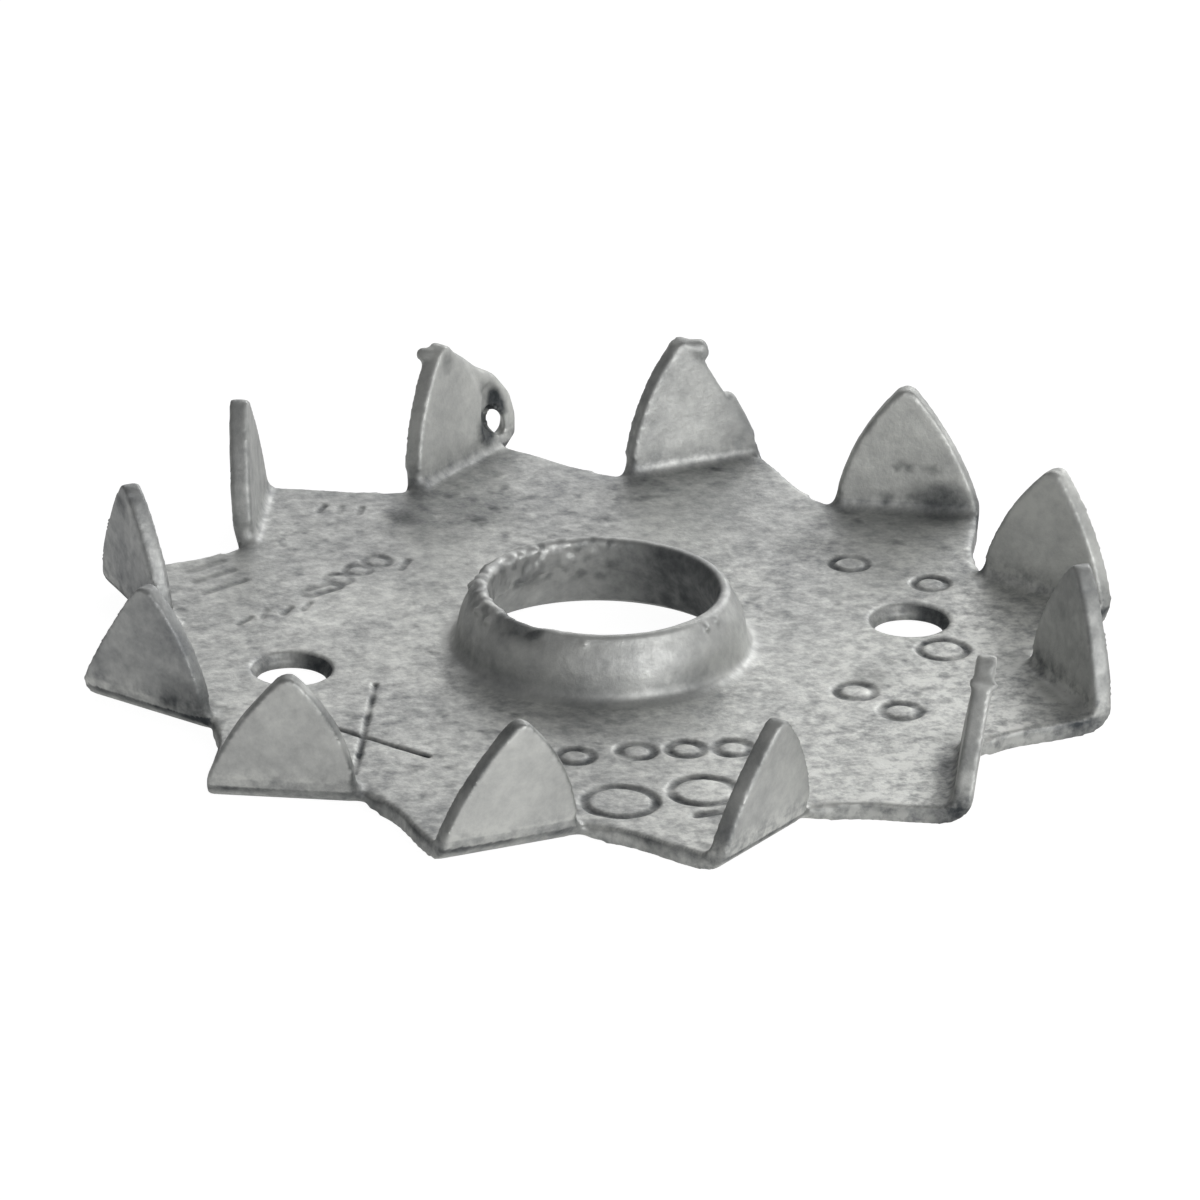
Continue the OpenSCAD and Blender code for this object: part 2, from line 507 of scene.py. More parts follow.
    def laid_on(self, tooth: int) -> Matrix:
        """Give the transform from a tooth's face, seen square to it, to the plate.

        Args:
            tooth: the tooth's number.

        Returns:
            The transform, whose X runs along the fold, Y up the tooth and Z off the sheet.
        """
        fold = self.folds[tooth]
        lean = math.radians(self.tooth_lean)
        up = fold.outwards * math.sin(lean) + Vector((0, 0, math.cos(lean)))
        off = fold.outwards * math.cos(lean) - Vector((0, 0, math.sin(lean)))
        at = fold.place(self.middle(0.0), 0.0, 0.0)
        axes = Matrix((fold.along, up, off)).transposed().to_4x4()
        return Matrix.Translation(at) @ axes

    def made(self, name: str, bm: bmesh.types.BMesh) -> bpy.types.Object:
        """Turn a bmesh into an object.

        Args:
            name: the object's name.
            bm: its mesh, which is freed.

        Returns:
            The object.
        """
        mesh = bpy.data.meshes.new(name)
        bm.to_mesh(mesh)
        bm.free()
        thing = bpy.data.objects.new(name, mesh)
        bpy.context.scene.collection.objects.link(thing)
        return thing

    def pierced(self, sheet: bmesh.types.BMesh) -> bmesh.types.BMesh:
        """Cut the lobe's opening through a sheet.

        Args:
            sheet: the closed mesh to cut, which is freed.

        Returns:
            The cut mesh.
        """
        lobe = self.lobe
        hole = bmesh.new()
        ring = bmesh.ops.create_circle(hole, cap_ends=True, segments=40, radius=1.0)
        bmesh.ops.translate(hole, vec=(0, 0, -lobe.hole_reach / 2), verts=ring["verts"])
        wall = bmesh.ops.extrude_face_region(hole, geom=list(hole.faces), use_keep_orig=True)
        lifted = [v for v in wall["geom"] if isinstance(v, bmesh.types.BMVert)]
        bmesh.ops.translate(hole, vec=(0, 0, lobe.hole_reach), verts=lifted)
        bmesh.ops.recalc_face_normals(hole, faces=hole.faces)
        shape = Matrix.Diagonal((lobe.hole_half[0], lobe.hole_half[1], 1.0, 1.0))
        slant = Matrix.Identity(4)
        slant[0][2], slant[1][2] = lobe.hole_slant
        turn = Matrix.Rotation(math.radians(lobe.hole_tilt), 4, "Z")
        place = Matrix.Translation((*lobe.hole_at, 0.0))
        bmesh.ops.transform(hole, matrix=self.laid_on(lobe.tooth) @ place @ slant @ turn @ shape,
                            verts=hole.verts)
        cutter = self.made("opening", hole)
        cut = self.made("cut_sheet", sheet)
        opening = cut.modifiers.new("opening", "BOOLEAN")
        opening.operation = "DIFFERENCE"
        opening.object = cutter
        self.apply_modifiers(cut)
        result = bmesh.new()
        result.from_mesh(cut.data)
        for spent in (cut, cutter):
            bpy.data.meshes.remove(spent.data)
        return result

    def torn_sheet(self) -> bmesh.types.BMesh:
        """Make the lobe's sheet, before its opening is cut.

        Returns:
            The mesh.
        """
        bm = bmesh.new()
        corners = [bm.verts.new((x, y, -self.lobe.thickness / 2)) for x, y in self.lobe.outline]
        bm.faces.new(corners)
        sheet = bmesh.ops.extrude_face_region(bm, geom=list(bm.faces), use_keep_orig=True)
        lifted = [v for v in sheet["geom"] if isinstance(v, bmesh.types.BMVert)]
        bmesh.ops.translate(bm, vec=(0, 0, self.lobe.thickness), verts=lifted)
        bmesh.ops.triangulate(bm, faces=bm.faces)
        bmesh.ops.recalc_face_normals(bm, faces=bm.faces)
        bmesh.ops.transform(bm, matrix=self.laid_on(self.lobe.tooth), verts=bm.verts)
        return bm

    def ball(self, bm: bmesh.types.BMesh, at: Vector, radius: float, detail: int = 2) -> None:
        """Add one ball of zinc.

        Args:
            bm: the mesh that gets it.
            at: its middle.
            radius: its radius.
            detail: how finely it is divided.
        """
        bmesh.ops.create_icosphere(bm, subdivisions=detail, radius=radius,
                                   matrix=Matrix.Translation(at))

    def drops(self, bm: bmesh.types.BMesh) -> None:
        """Set the burrs on their teeth, the zinc in the nail holes and the dross on the collar.

        Args:
            bm: the mesh that gets them.
        """
        for lump in self.lumps + (self.lobe.rim,):
            face = self.laid_on(lump.tooth)
            for along, up, off, radius in lump.balls():
                self.ball(bm, face @ Vector((along, up, off)), radius)
        for side in (-1, 1):
            for i in range(self.nail_drops):
                angle = 2 * math.pi * i / self.nail_drops
                # The drops just cross the underside, so that the skin has no crack under them
                self.ball(bm, Vector((side * self.nail_x + math.cos(angle) * self.nail_r,
                                      math.sin(angle) * self.nail_r, self.nail_drop_r - 0.05)),
                          self.nail_drop_r)
        dice = random.Random(self.dross_seed)
        count, middle, spread = self.rim_dross
        for _ in range(count):
            angle = math.radians(dice.gauss(middle, spread))
            ring = self.bore_r + dice.uniform(0.05, 1.3)
            # The grains lie on the rounded rim, which falls away outside its crest
            height = self.rim_z - 0.12 - 0.5 * max(0.0, ring - self.bore_r - 0.6)
            radius = dice.uniform(0.16, 0.32)
            self.ball(bm, Vector((math.cos(angle) * ring, math.sin(angle) * ring,
                                  height - radius * 0.7)), radius, 1)
        count, middle, spread = self.bore_dross
        for _ in range(count):
            angle = math.radians(dice.gauss(middle, spread))
            radius = dice.uniform(0.22, 0.38)
            ring = self.bore_r + 0.35 * radius
            self.ball(bm, Vector((math.cos(angle) * ring, math.sin(angle) * ring,
                                  self.rim_z - dice.uniform(0.3, 2.3))), radius, 1)

    def skinned(self, bm: bmesh.types.BMesh) -> bpy.types.Object:
        """Run every shell into one skin of even faces, as the zinc does.

        Args:
            bm: the pressing and what hangs on it.

        Returns:
            The object that carries the skin.
        """
        plate = self.made("galvanised_plate", bm)
        skin = plate.modifiers.new("skin", "REMESH")
        skin.mode = "VOXEL"
        skin.voxel_size = self.grid
        self.apply_modifiers(plate)
        return plate

    def apply_modifiers(self, plate: bpy.types.Object) -> None:
        """Make the modified mesh the object's own.

        Args:
            plate: the object, which loses its modifiers.
        """
        drawn = plate.data
        evaluated = plate.evaluated_get(bpy.context.evaluated_depsgraph_get())
        mesh = bpy.data.meshes.new_from_object(evaluated)
        plate.modifiers.clear()
        plate.data = mesh
        bpy.data.meshes.remove(drawn)

    def lean_teeth(self, points: np.ndarray) -> np.ndarray:
        """Move each tooth from where it is drawn to where the press left it.

        Args:
            points: the skin's points.

        Returns:
            The moved points.
        """
        for fold, pressing in zip(self.folds, self.pressings):
            local = fold.local(points)
            near = (local[:, 0] > -self.fold_r - 0.4) & (local[:, 0] < 4.0)
            near &= (local[:, 1] > -3.0) & (local[:, 1] < self.fold_l + 1.0)
            near &= local[:, 2] > self.sheet_t
            own = local[near]
            rise = np.clip((own[:, 2] - self.fold_r) / (self.tooth_h - self.fold_r), 0.0, None)
            angle = math.radians(pressing.lean) * ramp(0.0, 0.35, rise)
            up = np.maximum(own[:, 2] - self.fold_r, 0.0)
            own[:, 0] += np.sin(angle) * up
            own[:, 1] += pressing.shift * rise
            outer = ramp(self.fold_l / 2, self.fold_l / 2 - 2.5, own[:, 1])
            own[:, 1] += pressing.waist * outer * 4 * rise * np.clip(1 - rise, 0.0, 1.0)
            own[:, 2] += pressing.height * rise
            local[near] = own
            points = np.where(near[:, None], fold.world(local), points)
        return points

    def thin(self, plate: bpy.types.Object) -> None:
        """Bring the skin down to its number of triangles.

        Args:
            plate: the object that carries the skin.
        """
        faces = sum(len(p.vertices) - 2 for p in plate.data.polygons)
        fewer = plate.modifiers.new("fewer", "DECIMATE")
        fewer.ratio = min(1.0, self.triangles / faces)
        self.apply_modifiers(plate)

    def even(self, bm: bmesh.types.BMesh, verts: list[bmesh.types.BMVert], passes: int) -> None:
        """Smooth some of the skin's points.

        Args:
            bm: the skin.
            verts: the points.
            passes: how often they are smoothed.
        """
        for _ in range(passes):
            bmesh.ops.smooth_vert(bm, verts=verts, factor=0.5, use_axis_x=True, use_axis_y=True,
                                  use_axis_z=True)

    def smooth(self, mesh: bpy.types.Mesh) -> None:
        """Round the skin's edges, and more so the corners that zinc has filled.

        Args:
            mesh: the skin.
        """
        bm = bmesh.new()
        bm.from_mesh(mesh)
        self.even(bm, list(bm.verts), self.rounding)
        out, past, up = self.notch_at
        notches = [fold.place(out, self.fold_l + past, up) for fold in self.folds]
        filled = [v for v in bm.verts if v.co.xy.length > self.notch_ring
                  and min((v.co - notch).length for notch in notches) < self.notch_reach]
        near, far = self.foot_radii
        low, high = self.foot_heights
        filled += [v for v in bm.verts if near < v.co.xy.length < far and low < v.co.z < high]
        self.even(bm, filled, self.filling)
        bm.to_mesh(mesh)
        bm.free()

    def weather(self, mesh: bpy.types.Mesh) -> None:
        """Give the skin the unevenness of dipped zinc, and press the marks into it.

        Args:
            mesh: the skin.
        """
        mesh.update()
        points = read(mesh.vertices, "co")
        normals = read(mesh.vertex_normals, "vector")
        (wave, wave_h), (ripple, ripple_h), (grain, grain_h) = (
            self.waves, self.ripples, self.dross_grain)
        coat = self.zinc_t + wave_h * clouds(points, wave, 1.0) + ripple_h * clouds(
            points, ripple, 2.0)
        coat += self.dross(points) * grain_h * clouds(points, grain, 3.0)
        # The zinc drains off the underside, which stays where it is drawn
        coat *= 1.0 - ramp(-0.3, -0.9, normals[:, 2])
        coat -= self.pressed_in(points) * self.mark_depth * ramp(0.5, 0.9, normals[:, 2])
        inner = ramp(0.2, 0.7, -(normals @ np.array(self.folds[self.lobe.tooth].outwards)))
        coat -= self.lobe.hollow_depth * self.hollow(points) * inner
        coat -= self.chip_depth * self.chipped(points)
        points += normals * coat[:, None]
        mesh.vertices.foreach_set("co", points.ravel())
        mesh.update()

    def hollow(self, points: np.ndarray) -> np.ndarray:
        """Tell the burnt hollow round the torn lobe's opening.

        Args:
            points: places on the plate.

        Returns:
            From 0 outside it to 1 at its middle.
        """
        lobe = self.lobe
        local = self.folds[lobe.tooth].local(points)
        offset = local[:, 1:] - np.array(lobe.hollow_at)
        tilt = math.radians(lobe.hollow_tilt)
        long_way = offset @ (math.cos(tilt), math.sin(tilt)) / lobe.hollow_half[0]
        short_way = offset @ (-math.sin(tilt), math.cos(tilt)) / lobe.hollow_half[1]
        near = (np.abs(local[:, 0]) < 2.5) & (local[:, 2] > self.sheet_t + 0.3)
        return ramp(1.0, 0.6, np.hypot(long_way, short_way)) * near

    def chipped(self, points: np.ndarray) -> np.ndarray:
        """Tell the dull chip in the collar's rim.

        Args:
            points: places on the plate.

        Returns:
            From 0 outside it to 1 at its middle.
        """
        ring, bearing = polar(points)
        on_rim = ramp(4.3, 5.1, points[:, 2]) * (ring < 12.0)
        return on_rim * ramp(17.0, 6.0, np.abs(bearing - self.chip_at))

    def dross(self, points: np.ndarray) -> np.ndarray:
        """Tell how rough the zinc is on the collar, where it drained last.

        Args:
            points: places on the plate.

        Returns:
            From 0 to 1 at each place.
        """
        ring, bearing = polar(points)
        side = ramp(95.0, 70.0, np.abs(bearing - 155.0))
        # It reaches further down inside the bore than outside the rim
        low = np.where(ring < self.bore_r + 0.7, 2.0, 4.3)
        return np.clip((points[:, 2] - low) / 1.2, 0.0, 1.0) * (ring < 13.0) * side

    def pressed_in(self, points: np.ndarray) -> np.ndarray:
        """Tell how deep the pressed marks are.

        Args:
            points: places on the plate.

        Returns:
            From 0 to 1 at each place.
        """
        depth = np.zeros(len(points))
        flat = np.where((points[:, 2] > 0.8) & (points[:, 2] < 1.8))[0]
        for mark in self.marks:
            depth[flat] = np.maximum(depth[flat], mark.depth(points[flat]))
        return depth * np.clip(0.75 + 0.7 * clouds(points, 2.0, 12.0), 0.0, 1.0)

    def fold_shadow(self, points: np.ndarray) -> np.ndarray:
        """Tell the painted shadow on the plate in front of some folds, where the teeth cast shade.

        Args:
            points: places on the plate.

        Returns:
            The strength of the painted shadow at each place.
        """
        dull = np.zeros(len(points))
        for k, reach, strength, start in self.fold_shadows:
            local = self.folds[k].local(points)
            ends = ramp(-3.0, 1.0, local[:, 1])
            ends *= ramp(self.fold_l + 3.0, self.fold_l - 1.0, local[:, 1])
            band = ramp(-self.fold_r - reach, -self.fold_r, local[:, 0])
            low = ramp(3.6, 1.6, local[:, 2]) * ramp(0.4, -0.6, local[:, 0] + start)
            dull += strength * band * ends * low
        return dull * (0.6 + 0.5 * clouds(points, 3.0, 8.0))

    def shadowed(self, points: np.ndarray, normals: np.ndarray) -> np.ndarray:
        """Tell the painted shade and shadow of the collar: shade on one side of its bore and its
        shadow round its foot, with the darker colour of its chip.

        Args:
            points: places on the plate.
            normals: which way the skin faces there.

        Returns:
            How dark it is at each place.
        """
        ring, bearing = polar(points)
        # Painted shade on the bore's wall at the +X side, which faces away from the lamps on the right
        inside = (ring < 9.6) * ramp(-0.2, -0.7, (normals[:, :2] * points[:, :2]).sum(1) / ring)
        inside *= ramp(100.0, 32.0, np.abs((bearing - 5.0 + 180.0) % 360 - 180.0))
        # The painted shade is streaked, drawn out upwards, as the punch left it
        streaks = clouds(points * (1.0, 1.0, 0.1), 1.0, 13.0)
        dark = inside * (0.79 + 0.2 * streaks) + self.chip_darkening * self.chipped(points)
        # Painted shadow: the collar's shadow cast on the plate in front of its foot, an offset circle
        # darkened in colour
        away = np.linalg.norm(points[:, :2] - np.array(self.collar_shadow_at), axis=1)
        in_collar_shadow = ramp(self.collar_shadow_r + 0.25, self.collar_shadow_r - 0.35, away) * (ring > 9.7)
        in_collar_shadow *= ramp(3.0, 2.2, points[:, 2]) * (normals[:, 2] > -0.2)
        return dark + self.collar_shadow * in_collar_shadow * (0.9 + 0.4 * clouds(points, 2.5, 14.0))

    def smeared(self, points: np.ndarray, normals: np.ndarray) -> np.ndarray:
        """Tell the dark smears on the teeth, and the burnt hollow in the torn lobe, which is darker
        overall and carries painted shade on its sloping walls.

        Args:
            points: places on the plate.
            normals: which way the skin faces there.

        Returns:
            How dark it is at each place.
        """
        facing = np.abs(normals @ np.array(self.folds[self.lobe.tooth].outwards))
        # Painted shade in the hollow: darkest where its walls slope away from the tooth's face
        dark = self.hollow(points) * (0.35 + 0.6 * ramp(0.85, 0.5, facing))
        for k, at, up, wide, high, strength in self.smears:
            local = self.folds[k].local(points)
            away = np.linalg.norm((local[:, 1:] - (at, up)) / (wide, high), axis=1)
            dark += strength * ramp(1.0, 0.3, away) * (np.abs(local[:, 0]) < 3.0)
        return dark

    def patched(self, points: np.ndarray) -> np.ndarray:
        """Tell the dark patches on the plate.

        Args:
            points: places on the plate.

        Returns:
            How dark it is at each place.
        """
        dark = np.zeros(len(points))
        for x, y, reach, strength in self.patches:
            away = np.hypot(points[:, 0] - x, points[:, 1] - y)
            dark += strength * ramp(reach, 0.2 * reach, away)
        return dark

    def nail_hole_shade(self, points: np.ndarray, normals: np.ndarray) -> np.ndarray:
        """Tell the painted shade on the nail holes' walls, which is deepest on each wall's +X side,
        facing away from the lamps on the right.

        Args:
            points: places on the plate.
            normals: which way the skin faces there.

        Returns:
            How dark it is at each place.
        """
        # Painted shade in the nail holes, deeper on the side away from the light
        near = np.hypot(np.abs(points[:, 0]) - self.nail_x, points[:, 1])
        wall = ramp(3.35, 3.05, near) * ramp(0.9, 0.6, np.abs(normals[:, 2]))
        across = points[:, 0] - np.sign(points[:, 0]) * self.nail_x
        return (0.35 + 0.65 * ramp(0.3, 2.0, across)) * wall

    def soil_and_shade(self, mesh: bpy.types.Mesh) -> None:
        """Record where the zinc is dark, from dirt, oxide and painted shade and shadow, and where it
        is pitted, mottled and frosted, for the finish to read.

        Args:
            mesh: the finished skin, in millimetres.
        """
        points = read(mesh.vertices, "co")
        normals = read(mesh.vertex_normals, "vector")
        ring, _ = polar(points)
        on_plate = ramp(3.2, 2.0, points[:, 2]) * (ring > 11.5)
        soil_and_shade = self.mark_soil * self.pressed_in(points)
        soil_and_shade += 0.45 * self.dross(points) * ramp(-0.1, 0.4, clouds(points, 0.8, 7.0))
        # Painted shadow that the teeth cast on the plate in front of their folds
        soil_and_shade += self.fold_shadow(points)
        # The sheared edge is darker at its top, where the sheet broke away; the darkening is partly
        # oxide and partly painted shade on edges that face away from the lamps
        broken = 0.35 + 0.48 * ramp(0.5, 1.2, points[:, 2])
        soil_and_shade += self.sheared(points, normals) * broken * (0.75 + 0.7 * clouds(points, 2.2, 9.0))
        # Painted shade in the bore and the collar's painted shadow, the darker chip, the smears, and
        # the painted shade in the lobe's hollow
        soil_and_shade += self.shadowed(points, normals) + self.smeared(points, normals)
        # Dark patches on the plate, and the painted shade in the nail holes
        soil_and_shade += self.patched(points) * on_plate + self.nail_hole_shade(points, normals)
        # The zinc is lighter and more mottled towards the front right, and duller at the back
        bloom = ramp(8.0, 34.0, points[:, 0] * 0.75 - points[:, 1] * 0.65)
        bloom = 0.75 * bloom + (0.22 - 0.55 * ramp(8.0, 30.0, points[:, 1])) * on_plate
        speckle = 0.4 + on_plate * (0.35 + 1.1 * np.clip(bloom, 0.0, 1.0))
        for fold, frost in zip(self.folds, self.frost):
            local = fold.local(points)
            near = (local[:, 2] > 2.0) & (np.abs(local[:, 0]) < 3.5)
            near &= (local[:, 1] > -2.0) & (local[:, 1] < self.fold_l + 1.5)
            bloom[near] += frost
        layers = {
            "soil_and_shade": np.clip(soil_and_shade, 0.0, 1.0),
            "pits": on_plate * ramp(-0.3, 0.4, clouds(points, 9.0, 6.0)),
            "speckle": speckle,
            "bloom": bloom + 0.3 * clouds(points, 11.0, 10.0),
        }
        for name, values in layers.items():
            mesh.attributes.new(name, "FLOAT", "POINT").data.foreach_set("value", values)

    def sheared(self, points: np.ndarray, normals: np.ndarray) -> np.ndarray:
        """Tell the cut edges from the faces of the sheet; on the teeth it gives how dark each edge is
        painted, partly oxide and partly painted shade.

        Args:
            points: places on the plate.
            normals: which way the skin faces there.

        Returns:
            From 0 on a face to 1 on a cut edge.
        """
        ring, _ = polar(points)
        flat = np.linalg.norm(normals[:, :2], axis=1)
        cut = ramp(0.6, 0.9, flat) * ramp(1.9, 1.4, points[:, 2])
        for fold in self.folds:
            local = fold.local(points)
            near = (local[:, 2] > 1.4) & (local[:, 0] > -self.fold_r) & (local[:, 0] < 3.5)
            near &= (local[:, 1] > -1.5) & (local[:, 1] < self.fold_l + 1.0)
            # Above its fold a tooth's own edge also faces up, at the tip
            turned = normals[near] @ np.array(fold.along)
            across = np.hypot(turned, normals[near, 2] * (local[near, 2] > 4.0))
            # The darkening starts low on the rounded arris, so it also paints shade over the arris's
            # highlight
            cut[near] = self.edge_oxide_and_shade[fold.index] * ramp(0.15, 0.65, across)
        clear_of_holes = np.hypot(np.abs(points[:, 0]) - self.nail_x, points[:, 1]) > 5
        return cut * ramp(15.0, 17.0, ring) * clear_of_holes

    def build(self) -> bpy.types.Object:
        """Make the plate and stand it in for the CAD node.

        Returns:
            The finished plate.
        """
        sheet = self.pierced(self.pressed())
        lobe = self.made("lobe", self.pierced(self.torn_sheet()))
        sheet.from_mesh(lobe.data)
        bpy.data.meshes.remove(lobe.data)
        self.drops(sheet)
        plate = self.skinned(sheet)
        mesh = plate.data
        points = self.lean_teeth(read(mesh.vertices, "co"))
        mesh.vertices.foreach_set("co", points.ravel())
        self.smooth(mesh)
        self.weather(mesh)
        self.thin(plate)
        self.soil_and_shade(plate.data)
        plate.data.transform(Matrix.Scale(MM, 4))
        plate.data.shade_smooth()
        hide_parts(PLATE_NODE)
        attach(plate, "root")
        return plate


@dataclass(frozen=True)
class DippedZinc:
    """Hot-dip galvanised steel, weathered a little.

    The zinc froze in the air, so it is a light, dull grey with frosted grain and soft clouds
    where it froze early or late. Pits and pressed marks hold a darker oxide, and the same dark
    colour paints shade and shadow into the skin. The eye sees broad soft highlights along the
    bends, broken up by the grain.

    Attributes:
        light: the colour of frosted zinc.
        dull: the colour of dull zinc.
        oxide_and_shade: the colour of the oxide in the pits and on the cut edges, and of the painted
            shade and shadow.
        metallic: how much of it is bare metal.
        grain: size of the zinc's grain.
        pit: size of the pits.
        cloud: size of the clouds.
        tooth: size of the fine tooth of the skin, coarser than the real one so that it shows.
        relief: height of the grain and the tooth.
    """

    light: str = "E6E7E3"
    dull: str = "8E9092"
    oxide_and_shade: str = "4C5053"
    metallic: float = 0.8
    grain: float = 0.9
    pit: float = 1.6
    cloud: float = 6.0
    tooth: float = 0.35
    relief: float = 0.06

    def material(self) -> bpy.types.Material:
        """Build the material.

        Returns:
            The material.
        """
        zinc = bpy.data.materials.new("hot_dip_galvanised_steel")
        zinc.use_nodes = True
        tree = zinc.node_tree
        shader = tree.nodes["Principled BSDF"]
        shader.inputs["Metallic"].default_value = self.metallic
        place = add_node(tree, "ShaderNodeTexCoord").outputs["Object"]
        grain, cloud, tooth, spots = (
            add_node(tree, "ShaderNodeTexNoise", inputs={
                "Vector": place, "Scale": 1 / (size * MM), "Detail": detail, "Roughness": rough})
            for size, detail, rough in ((self.grain, 4.0, 0.65), (self.cloud, 3.0, 0.6),
                                        (self.tooth, 2.0, 0.5), (self.pit, 2.0, 0.5)))
        soil_and_shade, bloom, pits, speckle = (
            add_node(tree, "ShaderNodeAttribute", {"attribute_name": name}).outputs["Fac"]
            for name in ("soil_and_shade", "bloom", "pits", "speckle"))
        # The coat: crystals on clouds, lighter where it is frosted
        crystals = add_node(tree, "ShaderNodeMapRange", inputs={
            "Value": grain.outputs["Fac"], "From Min": 0.3, "From Max": 0.7,
            "To Min": -0.33, "To Max": 0.33})
        drift = add_node(tree, "ShaderNodeMapRange", inputs={
            "Value": cloud.outputs["Fac"], "From Min": 0.35, "From Max": 0.65,
            "To Min": 0.37, "To Max": 0.67})
        froze = add_node(tree, "ShaderNodeMath", {"operation": "MULTIPLY_ADD"}, {
            0: crystals.outputs["Result"], 1: speckle, 2: drift.outputs["Result"]})
        frosted = add_node(tree, "ShaderNodeMath", {"operation": "MULTIPLY_ADD",
                                                    "use_clamp": True}, {
            0: bloom, 1: 0.33, 2: froze.outputs[0]})
        coat = add_node(tree, "ShaderNodeMix", {"data_type": "RGBA"}, {
            0: frosted.outputs[0], 6: linear(self.dull), 7: linear(self.light)})
        # The oxide and the painted shade and shadow, mixed in one dark colour, which the grain holds
        # unevenly
        patchy = add_node(tree, "ShaderNodeMapRange", inputs={
            "Value": grain.outputs["Fac"], "From Min": 0.35, "From Max": 0.6,
            "To Min": 1.0, "To Max": 0.86})
        pit = add_node(tree, "ShaderNodeMapRange", inputs={
            "Value": spots.outputs["Fac"], "From Min": 0.56, "From Max": 0.74,
            "To Min": 0.0, "To Max": 0.6})
        dark = add_node(tree, "ShaderNodeMath", {"operation": "MULTIPLY_ADD"}, {
            0: pits, 1: pit.outputs["Result"], 2: soil_and_shade})
        held = add_node(tree, "ShaderNodeMath", {"operation": "MULTIPLY", "use_clamp": True}, {
            0: dark.outputs[0], 1: patchy.outputs["Result"]})
        colour = add_node(tree, "ShaderNodeMix", {"data_type": "RGBA"}, {
            0: held.outputs[0], 6: coat.outputs[2], 7: linear(self.oxide_and_shade)})
        tree.links.new(colour.outputs[2], shader.inputs["Base Color"])
        # The grain's highs shine more, and the oxide and the painted shade less
        sheen = add_node(tree, "ShaderNodeMapRange", inputs={
            "Value": grain.outputs["Fac"], "From Min": 0.3, "From Max": 0.7,
            "To Min": 0.56, "To Max": 0.42})
        rough = add_node(tree, "ShaderNodeMath", {"operation": "MULTIPLY_ADD"}, {
            0: soil_and_shade, 1: 0.15, 2: sheen.outputs["Result"]})
        tree.links.new(rough.outputs[0], shader.inputs["Roughness"])
        relief = add_node(tree, "ShaderNodeMath", {"operation": "MULTIPLY_ADD"}, {
            0: tooth.outputs["Fac"], 1: 0.35, 2: grain.outputs["Fac"]})
        bump = add_node(tree, "ShaderNodeBump", inputs={
            "Strength": 0.7, "Distance": self.relief * MM, "Height": relief.outputs[0]})
        tree.links.new(bump.outputs["Normal"], shader.inputs["Normal"])
        return zinc


@dataclass(frozen=True)
class SoftBox:
    """One soft studio lamp, aimed at the part.

    Attributes:
        name: what the lamp is.
        bearing: the side it stands on as the camera sees it, in degrees: 0 is behind the part,
            90 is to its right and 180 is at the camera.
        elevation: its height above the floor, in degrees.
        power: its power, in watts.
        size: its width and height, in metres.
        distance: how far it stands from the part, in metres.
    """

    name: str
    bearing: float
    elevation: float
    power: float
    size: float = 0.35
    distance: float = 0.6


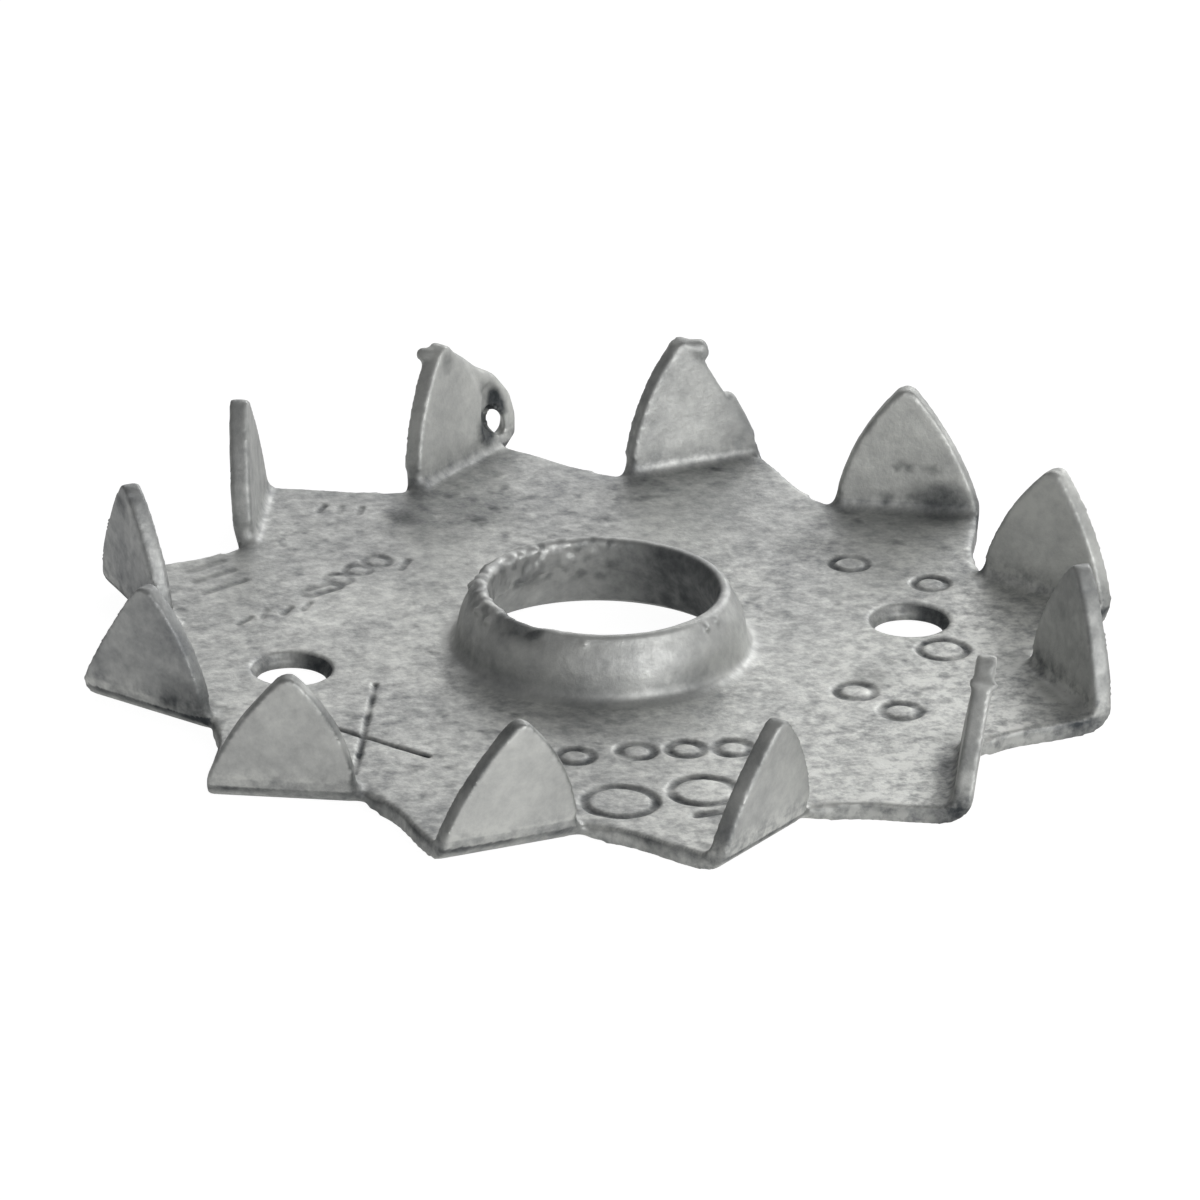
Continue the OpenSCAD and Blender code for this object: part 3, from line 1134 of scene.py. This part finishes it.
@dataclass
class Studio:
    """Floor, lamps and camera.

    Attributes:
        look: the way the camera looks, in degrees from the Y axis towards the X axis.
        elevation: how far it looks down, in degrees.
        roll: how far it is rolled, in degrees.
        distance: how far it stands from its aim.
        aim: the place it looks at.
        sensor: the width of its sensor.
        lens: its focal length.
        world_light: strength of the room's even light.
        floor_size: half the floor's width, in metres.
        paper: the floor's colour.
        glow: the floor's brightness to the eye, under its own shade.
        glow_share: how much of the floor's look is that glow, and the rest takes the shadow.
        gloss_share: how much of the glow the metal mirrors.
        lamps: the lamps.
    """

    look: float = 13.536
    elevation: float = 23.633
    roll: float = 1.089
    distance: float = 996.8
    aim: tuple[float, float, float] = (-0.179, 0.043, 4.691)
    sensor: float = 36.0
    lens: float = 421.55
    world_light: float = 0.186
    floor_size: float = 1.5
    paper: str = "E6E6E6"
    glow: float = 1.35
    glow_share: float = 0.7
    gloss_share: float = 0.25
    lamps: tuple[SoftBox, ...] = (
        SoftBox("front_right", 135.0, 18.0, 1.17),
        SoftBox("high_front_right", 130.0, 50.0, 0.14),
        SoftBox("front", 180.0, 18.0, 0.36),
        SoftBox("right", 90.0, 18.0, 0.3),
        SoftBox("back_right", 45.0, 18.0, 0.52),
        SoftBox("back_right_key", 35.0, 34.0, 0.29, 0.2),
        SoftBox("back_key", 20.0, 26.0, 0.23, 0.2),
        SoftBox("back", 0.0, 18.0, 0.36),
        SoftBox("high_back", 0.0, 55.0, 0.13),
    )

    def view_axes(self) -> tuple[Vector, Vector, Vector]:
        """Give the camera's right, up and forward directions, before its roll.

        Returns:
            The three directions.
        """
        turn, tilt = math.radians(self.look), math.radians(self.elevation)
        level = Vector((math.sin(turn), math.cos(turn), 0.0))
        forward = level * math.cos(tilt) - Vector((0, 0, math.sin(tilt)))
        right = Vector((level.y, -level.x, 0.0))
        return right, right.cross(forward), forward

    def camera(self) -> None:
        """Set the camera up square to its aim, with its small roll."""
        right, up, forward = self.view_axes()
        roll = math.radians(self.roll)
        rolled_right = right * math.cos(roll) + up * math.sin(roll)
        rolled_up = up * math.cos(roll) - right * math.sin(roll)
        place = (Vector(self.aim) - forward * self.distance) * MM
        axes = Matrix((rolled_right, rolled_up, -forward)).transposed()
        data = bpy.data.cameras.new("camera")
        data.sensor_width = self.sensor
        data.lens = self.lens
        data.clip_start, data.clip_end = 0.01, 100.0
        eye = bpy.data.objects.new("camera", data)
        eye.matrix_world = Matrix.Translation(place) @ axes.to_4x4()
        bpy.context.scene.collection.objects.link(eye)
        bpy.context.scene.camera = eye

    def light(self) -> None:
        """Set up the lamps and the even light of the room."""
        for lamp in self.lamps:
            data = bpy.data.lights.new(lamp.name, "AREA")
            data.energy = lamp.power
            data.shape = "SQUARE"
            data.size = lamp.size
            bearing = math.radians(self.look + lamp.bearing)
            tilt = math.radians(lamp.elevation)
            towards = Vector((math.sin(bearing) * math.cos(tilt),
                              math.cos(bearing) * math.cos(tilt), math.sin(tilt)))
            box = bpy.data.objects.new(lamp.name, data)
            box.location = towards * lamp.distance
            box.rotation_mode = "QUATERNION"
            box.rotation_quaternion = towards.to_track_quat("Z", "Y")
            bpy.context.scene.collection.objects.link(box)
        world = bpy.data.worlds.new("room")
        bpy.context.scene.world = world
        world.use_nodes = True
        tree = world.node_tree
        path = add_node(tree, "ShaderNodeLightPath")
        room = tree.nodes["Background"]
        room.inputs["Color"].default_value = linear("FFFFFF")
        room.inputs["Strength"].default_value = self.world_light
        white = add_node(tree, "ShaderNodeBackground", inputs={
            "Color": linear("FFFFFF"), "Strength": 1.0})
        mix = add_node(tree, "ShaderNodeMixShader", inputs={
            0: path.outputs["Is Camera Ray"], 1: room.outputs[0], 2: white.outputs[0]})
        tree.links.new(mix.outputs[0], tree.nodes["World Output"].inputs["Surface"])

    def floor(self) -> None:
        """Lay a pale floor that stays white to the eye and still takes the part's shadow."""
        bm = bmesh.new()
        bmesh.ops.create_grid(bm, x_segments=1, y_segments=1, size=self.floor_size)
        mesh = bpy.data.meshes.new("floor")
        bm.to_mesh(mesh)
        bm.free()
        floor = bpy.data.objects.new("floor", mesh)
        bpy.context.scene.collection.objects.link(floor)
        paper = bpy.data.materials.new("matt_paper")
        paper.use_nodes = True
        tree = paper.node_tree
        shader = tree.nodes["Principled BSDF"]
        shader.inputs["Base Color"].default_value = linear(self.paper)
        shader.inputs["Roughness"].default_value = 1.0
        path = add_node(tree, "ShaderNodeLightPath")
        seen = add_node(tree, "ShaderNodeMath", {"operation": "MAXIMUM"}, {
            0: path.outputs["Is Camera Ray"], 1: path.outputs["Is Transmission Ray"]})
        gloss = add_node(tree, "ShaderNodeMath", {"operation": "MULTIPLY"}, {
            0: path.outputs["Is Glossy Ray"], 1: self.gloss_share})
        both = add_node(tree, "ShaderNodeMath", {"operation": "MAXIMUM"}, {
            0: seen.outputs[0], 1: gloss.outputs[0]})
        part = add_node(tree, "ShaderNodeMath", {"operation": "MULTIPLY"}, {
            0: both.outputs[0], 1: self.glow_share})
        glow = add_node(tree, "ShaderNodeEmission", inputs={"Strength": self.glow})
        mix = add_node(tree, "ShaderNodeMixShader", inputs={
            0: part.outputs[0], 1: shader.outputs[0], 2: glow.outputs[0]})
        tree.links.new(mix.outputs[0], tree.nodes["Material Output"].inputs["Surface"])
        mesh.materials.append(paper)

    def build(self) -> None:
        """Set up the floor, the lamps and the camera."""
        self.floor()
        self.light()
        self.camera()
        bpy.context.scene.view_settings.view_transform = "Standard"


def main() -> None:
    """Build the dressed connector and its studio."""
    logging.basicConfig(level=logging.INFO, format="%(message)s")
    plate = ToothedPlate().build()
    plate.data.materials.clear()
    plate.data.materials.append(DippedZinc().material())
    log.info("%s: %d faces", plate.name, len(plate.data.polygons))
    Studio().build()


if __name__ == "__main__":
    main()
